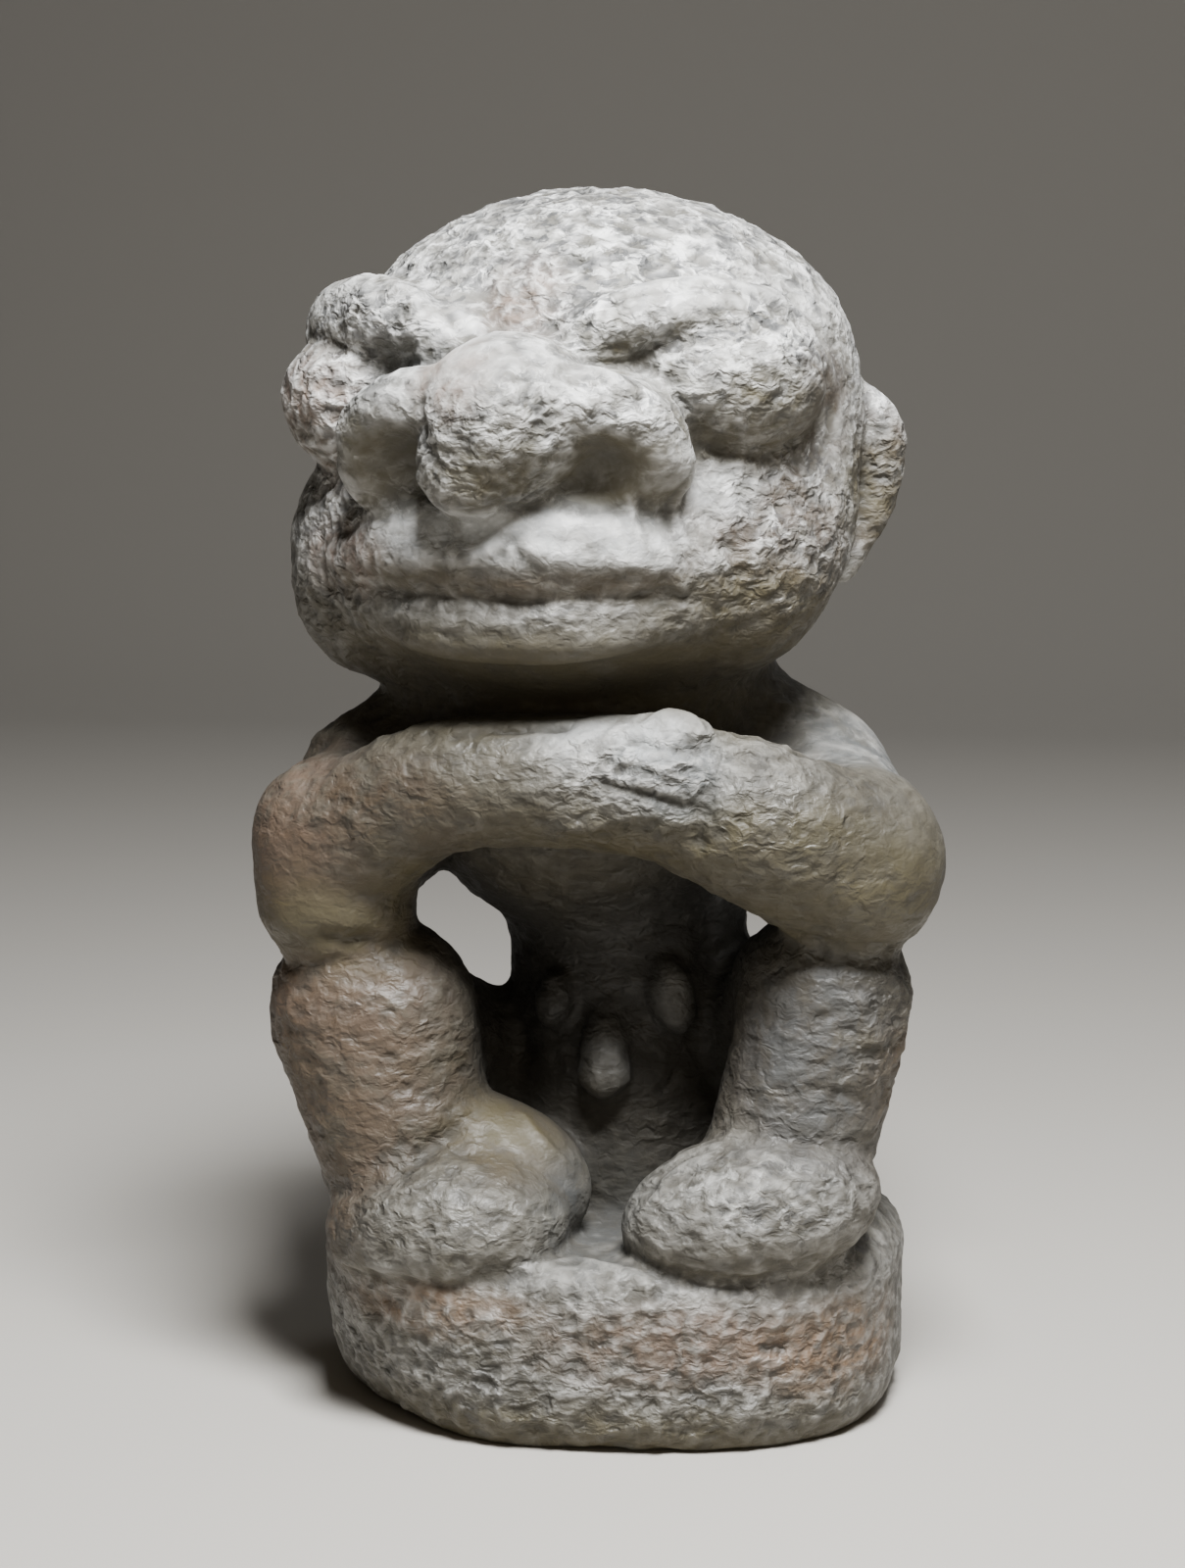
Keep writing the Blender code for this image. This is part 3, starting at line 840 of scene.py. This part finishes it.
def stone_colour(graph, where, flat, flecks):
    """Mottled grey stone with pale and dark flecks, its stains and its rubbed edges, with dirt and painted
    shade in its hollows, sheltered places and recess, painted shade on its undersides, and patches of painted
    light.
    """
    between, grain, mix, read, times = graph.between, graph.grain, graph.mix, graph.read, graph.times
    clean_and_lit, flecked, recess_dirt_and_shade = read("clean_and_lit"), read("flecked"), read("recess_dirt_and_shade")

    # Each tone runs from the dusty colour, painted as in shade, to the clean colour, painted as lit.
    def tone(name):
        return mix(clean_and_lit, SHADED_DUSTY_STONE[name], LIT_CLEAN_STONE[name])

    clouds = between(grain(0.012, 3, where, 0.8), 0.36, 0.64)
    colour = mix(clouds, tone("dark"), tone("light"))
    pale_share = graph.line(flecked, 0.5, 0.3)
    colour = mix(times(between(flecks, 0.47, 0.62), pale_share), colour, tone("pale flecks"))
    dark_flecks = between(grain(0.0023, 4, flat, 0.9, 0.68), 0.475, 0.55)
    dark_patches = between(grain(0.008, 2, where, 0.5), 0.33, 0.54)
    dark_share = graph.line(flecked, 0.3, 0.6)
    colour = mix(times(dark_flecks, dark_patches, dark_share), colour, tone("dark flecks"))

    broken = between(grain(0.007, 4, where, 0.5, 0.65), 0.34, 0.58, 0.25, 1.0)
    # Stains, and patches of painted shade and painted light.
    for name, (patch_colour, strength, _) in STAINS_AND_PAINTED_SHADING.items():
        colour = mix(times(read(name), broken, strength), colour, patch_colour)

    # Undersides are darkened as painted shade, broken up by noise.
    darkening = between(grain(0.016, 2, where, 0.5), 0.40, 0.62, 0.45, 1.0)
    colour = mix(times(read("underside_shade"), darkening, 0.9), colour, UNDERSIDE_PAINTED_SHADE)
    # Hollows are darkened: partly dirt and partly painted shade.
    colour = mix(times(read("hollow"), 0.65), colour, tone("hollows"))
    # Sheltered places are darkened with dirt and painted shade, less where the blue stain and olive painted
    # shade already lie.
    open_air = times(graph.line(read("blue"), -0.6, 1.0), graph.line(read("olive_shade"), -0.6, 1.0))
    sheltered = between(read("shelter"), 0.3, 0.8)
    colour = mix(times(sheltered, open_air, 0.85), colour, SHELTERED_DIRT_AND_SHADE)
    outside_recess_shade = graph.sum_up("SUBTRACT", 1.0, recess_dirt_and_shade)
    # Rubbed edges are kept out of the olive painted shade and the brown stain and shade.
    outside_stain_and_shade = times(graph.line(read("olive_shade"), -0.7, 1.0), graph.line(read("brown_stain_and_shade"), -0.85, 1.0))
    colour = mix(times(read("edge"), outside_recess_shade, outside_stain_and_shade, 0.6), colour, tone("rubbed edges"))
    # The recess is painted near black as shade, over some dirt; its bosses are painted less dark.
    colour = mix(times(recess_dirt_and_shade, 0.92), colour, RECESS_DIRT_AND_SHADE_COLOUR)
    colour = mix(times(read("boss"), broken, 0.7), colour, BOSS_COLOUR)
    return colour, tone("pits")


def stone_relief(graph, where, flat):
    """Knobs, pits and grain finer than the skin, and how much dirt the pits hold."""
    between, cells, grain, times = graph.between, graph.cells, graph.grain, graph.times
    worn = graph.line(graph.read("rough"), 1.2, 0.15)
    pitted = between(grain(0.0055, 1, where), 0.40, 0.58)
    holes = times(between(cells(0.0027, flat), 0.08, 0.62, 1.0, 0.0), pitted)
    small_holes = times(between(cells(0.0014, flat), 0.08, 0.5, 1.0, 0.0), pitted)
    relief = times(grain(0.0026, 2, flat, 0.4), 1.35)
    relief = graph.sum_up("SUBTRACT", relief, times(holes, 0.42))
    relief = graph.sum_up("SUBTRACT", relief, times(small_holes, 0.18))
    fine = times(grain(0.0007, 2, flat, 0.0, 0.6), 0.28)
    relief = times(graph.sum_up("ADD", relief, fine), worn)
    darkening = times(graph.sum_up("MAXIMUM", holes, times(small_holes, 0.6)), worn, 0.6)
    return relief, darkening


def stone_material():
    """Mottled soapstone: pale where it is rubbed, stained by iron, dark with dirt and painted shade in its
    hollows.
    """
    material = bpy.data.materials.new("worn_soapstone")
    graph = Graph(material)
    shader = graph.shader
    where = graph.node("ShaderNodeTexCoord").outputs["Object"]
    flat = wobbly_place(graph, where)
    flecks = graph.grain(0.0030, 4, flat, 0.6, 0.66)

    relief, pit_dirt = stone_relief(graph, where, flat)
    bump = graph.node("ShaderNodeBump")
    bump.inputs["Strength"].default_value = 1.0
    bump.inputs["Distance"].default_value = 0.001
    graph.link(relief, bump.inputs["Height"])
    graph.link(bump.outputs["Normal"], shader.inputs["Normal"])

    colour, pit_colour = stone_colour(graph, where, flat, flecks)
    graph.link(graph.mix(pit_dirt, colour, pit_colour), shader.inputs["Base Color"])

    gloss = graph.between(flecks, 0.42, 0.62, 0.66, 0.48)
    dull = graph.times(graph.sum_up("MAXIMUM", graph.read("hollow"), graph.read("shelter")), 0.25)
    graph.link(graph.sum_up("ADD", gloss, dull, clamp=True), shader.inputs["Roughness"])
    shader.inputs["Specular IOR Level"].default_value = 0.5
    return material


# Depths at which a hollow is darkened fully, partly dirt and partly painted shade: in the fine carving, and
# in the broad forms.
FINE_HOLLOW = 0.00011
BROAD_HOLLOW = 0.0005
BROAD_EDGE = 0.0006


def mark_wear(skin, solid):
    """Writes on each point how hollow, sheltered, rough and stained it is, and where shade and light are
    painted, for the material.
    """
    points, mesh = skin.points, skin.mesh
    fine, broad = hollowness(skin, 2), hollowness(skin, 14)
    hollow = np.clip(fine / FINE_HOLLOW, 0, 1) * 0.6 + np.clip(broad / BROAD_HOLLOW, 0, 1) * 0.5
    edge = np.clip(-fine / FINE_HOLLOW - 0.15, 0, 1) * 0.75
    edge += np.clip(-broad / BROAD_EDGE - 0.1, 0, 1) * 0.3
    attribute(mesh, "hollow", np.clip(hollow, 0, 1))
    attribute(mesh, "edge", np.clip(edge, 0, 1))
    attribute(mesh, "shelter", skin.smoothed(spread(solid, shelter_of(solid), points), 4))
    # How far each point faces down, for the painted shade on undersides.
    down = skin.smoothed(skin.normals[:, 2], 10)
    attribute(mesh, "underside_shade", np.clip(0.15 - down * 1.2, 0, 1))
    rough = (0.4 + 0.6 * zone(points, ROUGH)) * (1 - 0.8 * zone(points, SMOOTH))
    attribute(mesh, "rough", np.clip(rough, 0, 1))
    attribute(mesh, "flecked", zone(points, FLECKED, 0.6))
    # Painted as lit, partly a cleaner tone: the head, the hand, the tops of the feet and the base.
    clean_and_lit = [near(points, *egg) * share for egg, share in CLEAN_AND_LIT]
    attribute(mesh, "clean_and_lit", np.maximum.reduce(clean_and_lit))
    # Where the recess gets its painted shade.
    attribute(mesh, "recess_dirt_and_shade", zone(points, RECESS_DIRT_AND_SHADE, 0.6))
    attribute(mesh, "boss", zone(points, BOSSES, 0.6))
    for name, (_, _, places) in STAINS_AND_PAINTED_SHADING.items():
        attribute(mesh, name, zone(points, places, 0.6))


def dressed_figure(source):
    solid = welded(source)
    skin = Skin(fine_skin(solid))
    cut_strokes(skin)
    weather(skin)
    skin = Skin(thinned(skin.mesh))
    mark_wear(skin, solid)

    mesh = skin.mesh
    mesh.materials.clear()
    mesh.materials.append(stone_material())
    mesh.shade_smooth()
    figure = bpy.data.objects.new("worn_stone", mesh)
    bpy.context.scene.collection.objects.link(figure)
    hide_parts("stone_figure")
    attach(figure, "root")
    return figure


def plain_material(name, colour, roughness):
    material = bpy.data.materials.new(name)
    material.use_nodes = True
    shader = material.node_tree.nodes["Principled BSDF"]
    shader.inputs["Base Color"].default_value = colour
    shader.inputs["Roughness"].default_value = roughness
    return material


def floor():
    """A pale floor that rises in a wide curve to a pale wall."""
    profile = [(-1.6, 0.0), (0.9, 0.0)]
    for step in range(1, 13):
        angle = math.pi / 2 * step / 12
        profile.append((0.9 + 0.6 * math.sin(angle), 0.6 - 0.6 * math.cos(angle)))
    profile.append((1.5, 3.0))
    points, faces = [], []
    for y, z in profile:
        points += [(-3.0, y, z), (3.0, y, z)]
    for k in range(len(profile) - 1):
        faces.append((2 * k, 2 * k + 1, 2 * k + 3, 2 * k + 2))
    mesh = bpy.data.meshes.new("floor")
    mesh.from_pydata(points, [], faces)
    mesh.materials.append(plain_material("pale_floor", (0.37, 0.355, 0.33, 1), 0.9))
    mesh.shade_smooth()
    made = bpy.data.objects.new("floor", mesh)
    bpy.context.scene.collection.objects.link(made)


def facing(thing, direction):
    thing.rotation_mode = "QUATERNION"
    thing.rotation_quaternion = Vector(direction).to_track_quat("-Z", "Y")


def lamp(name, location, size, power, colour=(1, 1, 1)):
    light = bpy.data.lights.new(name, "AREA")
    light.shape = "SQUARE"
    light.size = size
    light.energy = power
    light.color = colour
    made = bpy.data.objects.new(name, light)
    made.location = location
    facing(made, Vector((0, 0, 0.12)) - made.location)
    bpy.context.scene.collection.objects.link(made)


def studio():
    world = bpy.data.worlds.new("studio")
    world.use_nodes = True
    background = world.node_tree.nodes["Background"]
    background.inputs["Color"].default_value = (1.0, 0.88, 0.7, 1)
    background.inputs["Strength"].default_value = 0.05
    bpy.context.scene.world = world
    lamp("key", (0.09, -0.265, 0.545), 0.17, 13.6, (0.99, 0.99, 0.985))
    lamp("fill", (0.3, -0.9, 0.3), 0.7, 1.15, (1.0, 0.82, 0.56))
    lamp("rim", (0.4, 0.45, 0.6), 0.3, 0.7)


def camera():
    turn, rise = math.radians(CAMERA_AZIMUTH), math.radians(CAMERA_ELEVATION)
    back = Vector((math.sin(turn) * math.cos(rise), -math.cos(turn) * math.cos(rise), math.sin(rise)))
    data = bpy.data.cameras.new("camera")
    data.lens = CAMERA_LENS
    data.sensor_width = 36
    data.clip_start = 0.01
    made = bpy.data.objects.new("camera", data)
    made.location = CAMERA_TARGET + back * CAMERA_DISTANCE
    facing(made, -back)
    bpy.context.scene.collection.objects.link(made)
    bpy.context.scene.camera = made


dressed_figure(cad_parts["stone_figure"])
floor()
studio()
camera()
